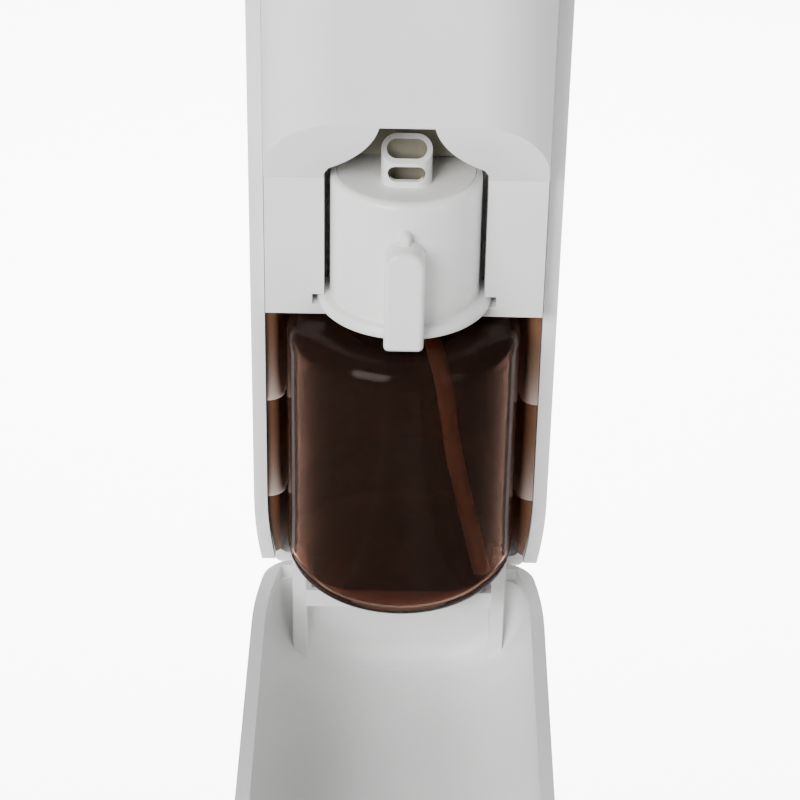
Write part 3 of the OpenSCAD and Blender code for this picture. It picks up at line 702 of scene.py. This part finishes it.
def housing_hollow():
    """What is hollow in the upper housing: all but its skin, the pocket's wall and the shelf."""
    wall_r, deck = POCKET_R + SKIN + 0.4, SLOT_Z1 + SKIN
    return carve(
        housing_block("housing hollow", SKIN, 32),
        prism("pocket wall", pocket_outline(SKIN, CUT_Z), "Y", -30, POCKET_BACK + SKIN),
        rod("pocket wall", "Z", CUT_Z, POCKET_Z + SKIN + 0.2, 0, 0, wall_r, 96),
        block("bracket wall", (-SLOT_R - SKIN, -30, CUT_Z), (SLOT_R + SKIN, 12, deck)),
        rod("bracket wall", "Z", CUT_Z, deck, 0, 0, SLOT_R + SKIN, 96),
        block("shelf", (-40, -30, SHELF_Z - SKIN), (40, SHELF_BACK, SHELF_Z)))


def in_pocket(p):
    """Whether a face's middle lies inside the pocket, behind the chamfer."""
    slope = (BRACKET_Y - HOUSING_LOW.y) / (CHAMFER_Z - BRACKET_TOP)
    chamfer_y = HOUSING_LOW.y + slope * (CHAMFER_Z - p.z)
    inside = abs(p.x) < POCKET_R + 2.5 and SLOT_Z1 + 0.2 < p.z < CHAMFER_Z + 1.4
    bracket_face = abs(p.x) > POCKET_R + 0.1 and p.y < POCKET_Z - 1.8 - p.z
    return inside and max(HOUSING_LOW.y + 2.2, chamfer_y + 1.5) < p.y < SHELF_BACK and not bracket_face


def make_housing():
    """Upper housing: a bevelled face over the pocket and slotted bracket that hold the head."""
    obj = housing_block("Upper housing", 0, 30)
    carve(obj, housing_hollow())
    carve(obj, prism("pocket", pocket_outline(0, SLOT_Z1), "Y", -40, POCKET_BACK),
          rod("pocket", "Z", SLOT_Z1, POCKET_Z + 0.1, 0, 0, POCKET_R, 96),
          rod("flange slot", "Z", SLOT_Z0, SLOT_Z1, 0, 0, SLOT_R, 96),
          block("flange slot", (-SLOT_R, -9, SLOT_Z0), (SLOT_R, 0, SLOT_Z1)),
          rod("lip", "Z", CUT_Z, SLOT_Z0 + 0.4, 0, 0, LIP_R, 96),
          block("lip", (-LIP_R, -9, CUT_Z), (LIP_R, 0, SLOT_Z0 + 0.4)),
          rod("air way", "Y", 10, 30, 0, AIR_Z, 2.7))
    for z, front in zip(POST_ZS, (-4, -14)):
        def post(start, end, radius, z=z):
            return both_sides(lambda: rod("post", "Y", start, end, POST_X, z, radius))

        carve(obj, *post(front, POST_END, POST_R), operation="UNION")
        carve(obj, *post(19, 36, PILOT_R))
    seats = both_sides(lambda: rod("magnet seat", "Y", -24, -20, MAGNET_X, MAGNET_Z, MAGNET_R + 1.4))
    carve(obj, *seats, operation="UNION")
    carve(obj, *both_sides(lambda: rod("magnet well", "Y", -26, -22.5, MAGNET_X, MAGNET_Z, MAGNET_R)))
    soften(obj, sizes().housing_round / MM)
    # The pocket's inside gets painted shade: a dark olive colour that stands in for its shadow.
    paint_cavity_shade(obj, finish("Shaded white"), in_pocket)
    settle(obj, "Upper housing", "case", finish("Housing white"), ["front_chassis"])


def liner_face():
    """The liner's face from the bottom up: upright, then scooped forward to each ledge."""
    points = [(0, LINER_LOW.z)]
    for ledge in (LEDGE - LINER_PITCH, LEDGE):
        points.append((0, ledge))
        for k in range(13):
            a = math.radians(7.5 * k)
            points.append((SCOOP_REACH * (1 - math.sin(a)), ledge + SCOOP_H * (1 - math.cos(a))))
    return points + [(0, LINER_HIGH.z)]


def liner_wing():
    """Round wing with a web, between the liner's right end and the case side."""
    low, top = LINER_LOW.z, LINER_HIGH.z
    face = [(WING_X - LINER_IN + WING_GAP + f, z) for f, z in liner_face()]
    column = lathe("wing", [(0, low)] + face + [(0, top)], 96)
    column.location = (WING_X, WING_Y, 0)
    carve(apply_place(column), block("back cut", (20, WING_Y, 0), (50, 20, CASE_H)),
          block("side cut", (WING_X, -10, 0), (50, 20, CASE_H)))
    web = block("web", (WEB_X, WING_Y - 0.1, low), (WING_X, WING_Y + 2, top))
    return carve(column, web, operation="UNION")


def make_liner():
    """Liner behind the bottle: three scooped tiers with round wings that meet the case sides."""
    outline = [(LINER_OUT, LINER_LOW.z)] + [(LINER_IN - f, z) for f, z in liner_face()]
    ring = lathe("Rear liner", outline + [(LINER_OUT, LINER_HIGH.z)], 96, -180, closed=True)
    edit(ring, "EDGE", lambda c: on_plane(c, 0))
    bpy.ops.mesh.edge_face_add()
    rest()
    carve(ring, block("front cut", (-40, -PAST, 0), (40, WING_Y, CASE_H)))
    carve(ring, *both_sides(liner_wing), operation="UNION")
    bounds = rounded_block("bounds", HALF_W - RIM_W - 0.15, -PAST, REAR_D, 0, CASE_H, 0, 0, RIM_W)
    carve(ring, bounds, operation="INTERSECT")
    soften(ring, 0.15, 2)
    settle(ring, "Rear liner", "case", finish("Liner brown"), ["rear_liner"])


def make_tray():
    """Base tray: a lipped tongue between the hinge arms, and its foot in the case."""
    x, front, top = TONGUE_X, TRAY_LOW.y, TRAY_HIGH.z
    obj = block("Base tray", (-x, front, FLOOR_CUT_TOP), (x, TONGUE_BACK, top))
    foot = block("foot", (-ARM_X1, 12, TRAY_LOW.z), (ARM_X1, 26, TRAY_FLOOR))
    knuckles = both_sides(lambda: rod("pin boss", "X", KNUCKLE_X, x, HINGE.y, HINGE.z, KNUCKLE_R))
    carve(obj, foot, *knuckles, operation="UNION")
    carve(obj, block("recess", (TRAY_LIP - x, front + TRAY_LIP, TRAY_FLOOR), (x - TRAY_LIP, 16, top + PAST)),
          *both_sides(lambda: rod("pin hole", "X", KNUCKLE_X - 0.5, x + PAST, HINGE.y, HINGE.z, PIN_R)))
    soften(obj, 0.35)
    settle(obj, "Base tray", "case", finish("Housing white"), ["base_tray"])


def make_bottle():
    """Round bottle with a soft shoulder, a pushed-up base and a ringed neck."""
    base, mouth, r = BOTTLE_LOW.z, BOTTLE_HIGH.z, BOTTLE_R
    outline = [(0, base + 1.6), (12, base + 1.5), (17, base + 1.1), (19.5, base + 0.3), (21, base)]
    outline += arc(r - BASE_R, base + BASE_R, BASE_R, -90, 0, 12)
    outline += arc(r - SHOULDER_R, SHOULDER_Z - SHOULDER_R, SHOULDER_R, 0, 90, 14)
    outline += arc(NECK_R + 0.6, SHOULDER_Z + 0.6, 0.6, 270, 180, 4)
    for z in THREAD_ZS:
        outline += [(NECK_R, z), (NECK_R + 0.5, z + 0.12), (THREAD_R, z + 0.5), (THREAD_R, z + 1.1),
                    (NECK_R + 0.5, z + 1.48), (NECK_R, z + 1.6)]
    outline += arc(NECK_R - 0.5, mouth - 0.5, 0.5, 0, 90, 3)
    outline += arc(NECK_BORE + 0.5, mouth - 0.5, 0.5, 90, 180, 3)
    outline += arc(NECK_BORE + 1, SHOULDER_Z - GLASS + 1, 1, 180, 270, 4)
    outline += arc(r - SHOULDER_R, SHOULDER_Z - SHOULDER_R, SHOULDER_R - GLASS, 90, 0, 12)
    outline += arc(r - BASE_R, base + BASE_R + GLASS, BASE_R - GLASS, 0, -90, 12)
    outline += [(17, base + 3), (0, base + 3.4)]
    obj = lathe("Refill bottle", outline, 128)
    soften(obj, 0)
    settle(obj, "Refill bottle", "bottle", finish("Amber glass"), ["bottle"])


def pull_grip():
    """Flat grip with a round top and soft front edges."""
    half, top_r, foot_r = sizes().grip_width / MM / 2, 4.2, 1.4
    front = arc(half - top_r, GRIP_TOP - top_r, top_r, 0, 90, 8)
    front += arc(top_r - half, GRIP_TOP - top_r, top_r, 90, 180, 8)
    front += arc(foot_r - half, GRIP_LOW + foot_r, foot_r, 180, 270, 4)
    front += arc(half - foot_r, GRIP_LOW + foot_r, foot_r, 270, 360, 4)
    grip = prism("grip", front, "Y", GRIP_NOSE, -17.6)
    edit(grip, "EDGE", lambda c: on_plane(c, GRIP_NOSE))
    bpy.ops.mesh.bevel(offset=1.3, segments=5, affect="EDGES")
    return grip


def grip_rib():
    """Small rib over the grip."""
    nose, half = -22.4, 1.5
    outline = arc(0, GRIP_TOP + 1.6, half, 0, 180, 10) + [(-half, GRIP_TOP - 3), (half, GRIP_TOP - 3)]
    rib = prism("rib", outline, "Y", nose, -18.2)
    edit(rib, "EDGE", lambda c: on_plane(c, nose))
    bpy.ops.mesh.bevel(offset=1.0, segments=4, affect="EDGES")
    return rib


def make_head():
    """Atomiser head: cap with its carrying flange and pull grip, and the lid with the mist nozzle."""
    low, neck, seal, seat_r = CAP_LOW.z + 1.8, THREAD_R + 0.05, DECK_Z - 2, LID_R - 1
    outline = [(neck, low), (FLANGE_R - 0.3, low), (FLANGE_R, low + 0.3), (FLANGE_R, 96.2),
               (FLANGE_R - 0.3, 96.6), (FLANGE_R - 1.0, 97.4), (HEAD_R + 0.5, 97.4)]
    outline += arc(HEAD_R + 0.5, 97.9, 0.5, 270, 180, 3) + arc(HEAD_R - 2, HEAD_TOP - 2, 2, 0, 80, 10)
    outline += [(LID_R + 0.05, HEAD_TOP - 0.15), (LID_R, LID_Z), (seat_r, LID_Z), (seat_r, DECK_Z),
                (2.4, DECK_Z), (2.4, seal), (neck, seal)]
    cap = lathe("Head cap", outline, 128, closed=True)
    carve(cap, pull_grip(), grip_rib(), operation="UNION")
    carve(cap, rod("air way", "Y", 10, 24, 0, AIR_Z, 2.65))
    soften(cap, 0.35, 3, 40)
    settle(cap, "Head cap", "cartridge", finish("Head white"), ["head_cap"])

    mouth_w = sizes().mouth_width / MM
    slant, slant_y = (144.4 - 138.1) / 11, -11
    lid = rod("Head lid", "Z", LID_Z + 0.1, HEAD_TOP, 0, 0, LID_R - 0.1, 128)
    chimney = prism("nozzle", stadium(NOZZLE_W, NOZZLE_D, 0, NOZZLE_Y), "Z", HEAD_TOP - 1, 146)
    over_slant = [(slant_y, 138.1), (0, 138.1 - slant * slant_y), (0, 150), (slant_y, 150)]
    carve(chimney, prism("slant", over_slant, "X", -9, 9))
    carve(lid, chimney, operation="UNION")
    carve(lid, prism("mouth", stadium(mouth_w, MOUTH_D, 0, NOZZLE_Y), "Z", 128, 149),
          prism("window", stadium(WINDOW_W, WINDOW_H, 0, WINDOW_Z), "Y", 2 * NOZZLE_Y, NOZZLE_Y))
    soften(lid, 0.3, 3, 40)
    # The inside of the nozzle's mouth gets painted shade.
    paint_cavity_shade(lid, finish("Shaded white"),
                lambda p: abs(p.x) < mouth_w / 2 + 0.02 and abs(p.y - NOZZLE_Y) < MOUTH_D / 2 + 0.02
                and p.z < 140 + slant * (p.y - NOZZLE_Y))
    settle(lid, "Head lid", "cartridge", finish("Head white"), ["head_lid"])


def make_dip_tube():
    """Curved tube from the jet down to the bottle's base."""
    route = [(0, 0, 104.4), (1, -1, 99), (3.6, -3.6, 92), (8, -8, 84), (14.5, -10.6, 50), (22.5, -12.4, 15)]
    rest()
    bpy.ops.curve.primitive_nurbs_path_add()
    obj = bpy.context.object
    line = obj.data
    line.splines.clear()
    spline = line.splines.new("BEZIER")
    spline.bezier_points.add(len(route) - 1)
    for point, place in zip(spline.bezier_points, route):
        point.co = place
        point.handle_left_type = point.handle_right_type = "AUTO"
    line.dimensions = "3D"
    line.resolution_u = 10
    line.bevel_depth = TUBE_R
    line.bevel_resolution = 8
    line.use_fill_caps = True
    only(obj)
    bpy.ops.object.convert(target="MESH")
    obj = bpy.context.object
    tidy_mesh(obj)
    soften(obj, 0, angle=50)
    settle(obj, "Dip tube", "cartridge", finish("Tube brown"), ["dip_tube"])


def on_button_axis(obj):
    """Moves a turned piece from the bottle's axis to the button's."""
    obj.location = (0, BUTTON_Y, 0)
    apply_place(obj)
    return soften(obj, 0)


def make_controls():
    """Push button and the frosted ring round it."""
    low, high = case_box("mode_button")
    under, flange_r, stem_r = CASE_H - WALL - 0.1, BUTTON_R + 1.2, 1.7
    outline = [(0, low.z), (stem_r, low.z), (stem_r, under - 1.3), (flange_r, under - 1.3),
               (flange_r, under), (BUTTON_R, under)]
    outline += arc(BUTTON_R - 0.8, high.z - 0.8, 0.8, 0, 75, 8) + [(3, high.z - 0.12), (0, high.z - 0.3)]
    button = on_button_axis(lathe("Push button", outline, 96))
    settle(button, "Push button", "button", finish("Head white"), ["mode_button"])
    inner, proud = BUTTON_R + 0.08, CASE_H + 0.3
    outline = [(inner, CASE_H - WALL), (RING_R, CASE_H - WALL), (RING_R, CASE_H), (RING_R - 0.3, proud),
               (BUTTON_R + 0.3, proud), (inner, CASE_H + 0.1)]
    ring = on_button_axis(lathe("Light ring", outline, 96, closed=True))
    settle(ring, "Light ring", "case", finish("Frosted ring"), ["light_ring"])


INNER_FINISHES = {
    "Turned steel": ["hinge_pins", "case_screws", "board_screws", "pump_motor", "motor_shaft"],
    "Black plastic": ["dc_socket", "power_lead", "board_parts", "tact_switch", "pump_head", "air_coupling"],
    "Solder mask": ["control_board"],
    "Rubber": ["motor_collars", "coupling_seal", "neck_seal"],
    "Silicone": ["air_hose"],
    "Nickel": ["body_magnets", "cover_magnets"],
    "Head white": ["pump_eccentric", "venturi_jet", "inlet_port"],
}


def dress_inner_parts():
    """Gives the pieces that keep their own shape their finishes."""
    for kind, names in INNER_FINISHES.items():
        for name in names:
            for slot in frame["nodes"][name].material_slots:
                slot.material = finish(kind)


# ---- stage ----
# The camera's place is in millimetres in the case frame. Lamps are in metres.

CAMERA_FROM = (-0.6, -588, 441)
CAMERA_DOWN = 32.8
CAMERA_ROLL = 1.06
CAMERA_LENS = 117
FLOOR_SIZE, FLOOR_Z = 9, -0.5
WORLD_LIGHT = 0.20
OBJECT_MIDDLE = (0, -0.06, -0.02)
LAMPS = [
    # name, place, aimed at, size, power
    ("Key", (-0.8, -1.33, 0.76), OBJECT_MIDDLE, (1.0, 1.0), 47),
    ("Fill", (1.2, -1.2, 0.3), OBJECT_MIDDLE, (0.7, 0.7), 5.5),
    ("Floor wash", (0, 0.85, -0.15), (0, 0.85, FLOOR_Z), (1.8, 1.6), 110),
]


def area_light(name, place, aim, size, power):
    """A soft rectangular lamp aimed at a point."""
    rest()
    bpy.ops.object.light_add(type="AREA", location=place)
    lamp = bpy.context.object
    lamp.name = name
    lamp.data.shape = "RECTANGLE"
    lamp.data.size, lamp.data.size_y = size
    lamp.data.energy = power
    lamp.rotation_euler = (Vector(aim) - Vector(place)).to_track_quat("-Z", "Y").to_euler()


def make_stage():
    """Pale floor, plain soft studio light and the camera."""
    rest()
    bpy.ops.mesh.primitive_plane_add(size=FLOOR_SIZE, location=(0, 0, FLOOR_Z))
    floor = bpy.context.object
    floor.name = "Floor"
    material, nodes, links, shader = base_material("Pale floor", (0.95, 0.95, 0.95), 0.9)
    patches = noise(nodes, links, 3).outputs["Fac"]
    tone = tint(nodes, links, patches, (0.94, 0.94, 0.94), (0.96, 0.96, 0.96))
    links.new(tone, shader.inputs["Base Color"])
    floor.data.materials.append(material)
    floor.visible_glossy = False
    world = bpy.data.worlds.new("Studio")
    bpy.context.scene.world = world
    world.use_nodes = True
    world.node_tree.nodes["Background"].inputs["Color"].default_value = (1, 1, 1, 1)
    world.node_tree.nodes["Background"].inputs["Strength"].default_value = WORLD_LIGHT
    for lamp in LAMPS:
        area_light(*lamp)
    rest()
    bpy.ops.object.camera_add(location=ORIGIN + Vector(CAMERA_FROM) * MM)
    camera = bpy.context.object
    camera.name = "Camera"
    camera.data.lens = CAMERA_LENS
    camera.data.sensor_width = 36
    pitch = Matrix.Rotation(math.radians(90 - CAMERA_DOWN), 4, "X")
    roll = Matrix.Rotation(math.radians(CAMERA_ROLL), 4, "Z")
    camera.rotation_euler = (pitch @ roll).to_euler()
    camera.data.clip_start = 0.01
    bpy.context.scene.camera = camera


# ---- add-on ----


class DIFFUSER_PG_colours(bpy.types.PropertyGroup):
    """Colours that a user would change."""

    shell_white: bpy.props.FloatVectorProperty(
        name="Body white", description="Colour of the case and cover", subtype="COLOR", size=3,
        default=(0.80, 0.80, 0.795), min=0, max=1)
    head_white: bpy.props.FloatVectorProperty(
        name="Head white", description="Colour of the atomiser head and button", subtype="COLOR", size=3,
        default=(0.84, 0.84, 0.83), min=0, max=1)
    # Painted shade colour for the white plastic inside the pocket and the nozzle.
    painted_cavity_shade: bpy.props.FloatVectorProperty(
        name="Cavity", description="Colour inside the pocket and the nozzle", subtype="COLOR", size=3,
        default=(0.21, 0.195, 0.145), min=0, max=1)
    # Painted shade and painted light on the liner: brown stands in for light through the amber bottle, dark
    # under each ledge and pale above the next.
    liner_painted_shade: bpy.props.FloatVectorProperty(
        name="Liner, dark", description="Liner colour low in each ring", subtype="COLOR", size=3,
        default=(0.18, 0.083, 0.042), min=0, max=1)
    liner_painted_light: bpy.props.FloatVectorProperty(
        name="Liner, pale", description="Liner colour just above each ledge", subtype="COLOR", size=3,
        default=(0.55, 0.44, 0.38), min=0, max=1)
    amber: bpy.props.FloatVectorProperty(
        name="Amber", description="Colour of the bottle's wall", subtype="COLOR", size=3,
        default=(0.30, 0.17, 0.125), min=0, max=1)
    tube_brown: bpy.props.FloatVectorProperty(
        name="Tube brown", description="Colour of the dip tube", subtype="COLOR", size=3,
        default=(0.36, 0.29, 0.24), min=0, max=1)


class DIFFUSER_PG_sizes(bpy.types.PropertyGroup):
    """Sizes that a user would change."""

    edge_round: bpy.props.FloatProperty(
        name="Shell edges", description="Radius on the edges of the rear shell and cover",
        default=0.00045, min=0.0001, max=0.0008, precision=5, subtype="DISTANCE", unit="LENGTH")
    housing_round: bpy.props.FloatProperty(
        name="Housing edges", description="Radius on the edges of the upper housing",
        default=0.0008, min=0.0002, max=0.001, precision=5, subtype="DISTANCE", unit="LENGTH")
    grip_width: bpy.props.FloatProperty(
        name="Grip width", description="Width of the pull grip",
        default=0.0102, min=0.009, max=0.011, precision=4, subtype="DISTANCE", unit="LENGTH")
    mouth_width: bpy.props.FloatProperty(
        name="Mouth width", description="Width of the nozzle's mouth",
        default=0.0102, min=0.0095, max=0.0108, precision=4, subtype="DISTANCE", unit="LENGTH")


class DIFFUSER_OT_stage(bpy.types.Operator):
    """Adds the floor, lamps and camera"""

    bl_idname = "diffuser.stage"
    bl_label = "Stage"

    def execute(self, context):
        make_stage()
        return {"FINISHED"}


class DIFFUSER_OT_rear_shell(bpy.types.Operator):
    """Models the rear shell"""

    bl_idname = "diffuser.rear_shell"
    bl_label = "Rear shell"

    def execute(self, context):
        make_rear_shell()
        return {"FINISHED"}


class DIFFUSER_OT_front_cover(bpy.types.Operator):
    """Models the cover, its arms and its outlet ring"""

    bl_idname = "diffuser.front_cover"
    bl_label = "Front cover"

    def execute(self, context):
        make_front_cover()
        return {"FINISHED"}


class DIFFUSER_OT_housing(bpy.types.Operator):
    """Models the upper housing with its bracket"""

    bl_idname = "diffuser.housing"
    bl_label = "Upper housing"

    def execute(self, context):
        make_housing()
        return {"FINISHED"}


class DIFFUSER_OT_liner(bpy.types.Operator):
    """Models the liner behind the bottle"""

    bl_idname = "diffuser.liner"
    bl_label = "Rear liner"

    def execute(self, context):
        make_liner()
        return {"FINISHED"}


class DIFFUSER_OT_tray(bpy.types.Operator):
    """Models the tray between the hinge arms"""

    bl_idname = "diffuser.tray"
    bl_label = "Base tray"

    def execute(self, context):
        make_tray()
        return {"FINISHED"}


class DIFFUSER_OT_bottle(bpy.types.Operator):
    """Models the bottle"""

    bl_idname = "diffuser.bottle"
    bl_label = "Refill bottle"

    def execute(self, context):
        make_bottle()
        return {"FINISHED"}


class DIFFUSER_OT_head(bpy.types.Operator):
    """Models the cap, grip, lid and nozzle"""

    bl_idname = "diffuser.head"
    bl_label = "Atomiser head"

    def execute(self, context):
        make_head()
        return {"FINISHED"}


class DIFFUSER_OT_dip_tube(bpy.types.Operator):
    """Models the dip tube"""

    bl_idname = "diffuser.dip_tube"
    bl_label = "Dip tube"

    def execute(self, context):
        make_dip_tube()
        return {"FINISHED"}


class DIFFUSER_OT_controls(bpy.types.Operator):
    """Models the push button and its ring"""

    bl_idname = "diffuser.controls"
    bl_label = "Controls"

    def execute(self, context):
        make_controls()
        return {"FINISHED"}


class DIFFUSER_OT_inner_parts(bpy.types.Operator):
    """Gives the inner parts their finishes"""

    bl_idname = "diffuser.inner_parts"
    bl_label = "Inner parts"

    def execute(self, context):
        dress_inner_parts()
        return {"FINISHED"}


OPERATORS = [
    DIFFUSER_OT_stage,
    DIFFUSER_OT_rear_shell,
    DIFFUSER_OT_front_cover,
    DIFFUSER_OT_housing,
    DIFFUSER_OT_liner,
    DIFFUSER_OT_tray,
    DIFFUSER_OT_bottle,
    DIFFUSER_OT_head,
    DIFFUSER_OT_dip_tube,
    DIFFUSER_OT_controls,
    DIFFUSER_OT_inner_parts,
]


class DIFFUSER_PT_panel(bpy.types.Panel):
    """Sidebar list of the pieces, sizes and colours."""

    bl_idname = "DIFFUSER_PT_panel"
    bl_label = "Scent diffuser"
    bl_space_type = "VIEW_3D"
    bl_region_type = "UI"
    bl_category = "Diffuser"

    def draw(self, context):
        for operator in OPERATORS:
            self.layout.operator(operator.bl_idname)
        for group, settings in (
            (DIFFUSER_PG_sizes, context.scene.diffuser_sizes),
            (DIFFUSER_PG_colours, context.scene.diffuser_colours),
        ):
            for name in group.__annotations__:
                self.layout.prop(settings, name)


CLASSES = [DIFFUSER_PG_colours, DIFFUSER_PG_sizes, *OPERATORS, DIFFUSER_PT_panel]


def register():
    for cls in CLASSES:
        bpy.utils.register_class(cls)
    bpy.types.Scene.diffuser_colours = bpy.props.PointerProperty(type=DIFFUSER_PG_colours)
    bpy.types.Scene.diffuser_sizes = bpy.props.PointerProperty(type=DIFFUSER_PG_sizes)


def unregister():
    del bpy.types.Scene.diffuser_sizes
    del bpy.types.Scene.diffuser_colours
    for cls in reversed(CLASSES):
        bpy.utils.unregister_class(cls)


def main():
    """Makes the stage and every piece."""
    register()
    for operator in OPERATORS:
        getattr(bpy.ops.diffuser, operator.bl_idname.split(".")[1])()


if __name__ == "__main__":
    main()
